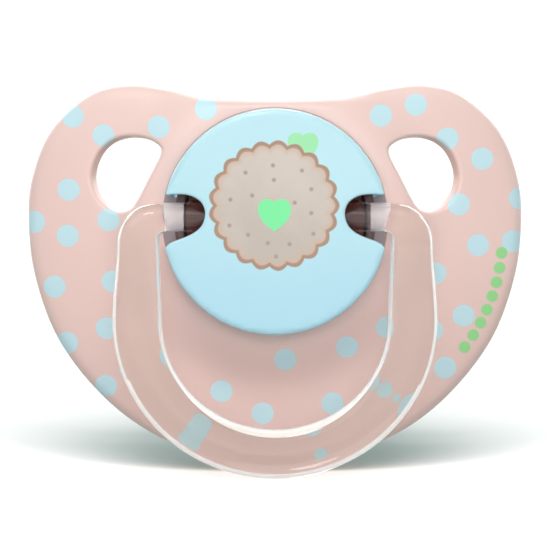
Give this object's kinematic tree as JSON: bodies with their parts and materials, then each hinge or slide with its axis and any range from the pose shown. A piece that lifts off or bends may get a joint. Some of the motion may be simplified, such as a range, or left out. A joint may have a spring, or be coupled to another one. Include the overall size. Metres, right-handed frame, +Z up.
{
  "type": "baby pacifier",
  "caption": "Baby pacifier: curved shield with two vents, hollow teat, round printed front cap and a clear ring that swings on a hinge behind the cap.",
  "frame": {"origin": "on the teat's axis, at the middle of the shield's lip side", "axes": "+X to the right seen from the front, +Y back along the teat into the mouth, +Z up; the ring hangs straight down"},
  "size_m": [0.0482, 0.0371, 0.0378],
  "materials": {
    "shield_pink": "satin moulded, printed with pale blue dots",
    "silicone": "translucent matt silicone",
    "plug_plum": "moulded",
    "cap_blue": "gloss moulded, printed with a plain biscuit",
    "clear_ring": "polished clear plastic"
  },
  "bodies": {
    "shield_body": {"shield": "shield_pink", "teat": "silicone", "teat_plug": "plug_plum", "front_cap": "cap_blue"},
    "ring_body": {"ring": "clear_ring"}
  },
  "joints": [
    {"name": "ring_swing", "type": "hinge", "parent": "shield_body", "child": "ring_body", "pos_m": [0, -0.0055, 0.0004], "axis": [-1, 0, 0], "range_deg": [-14, 198]}
  ]
}
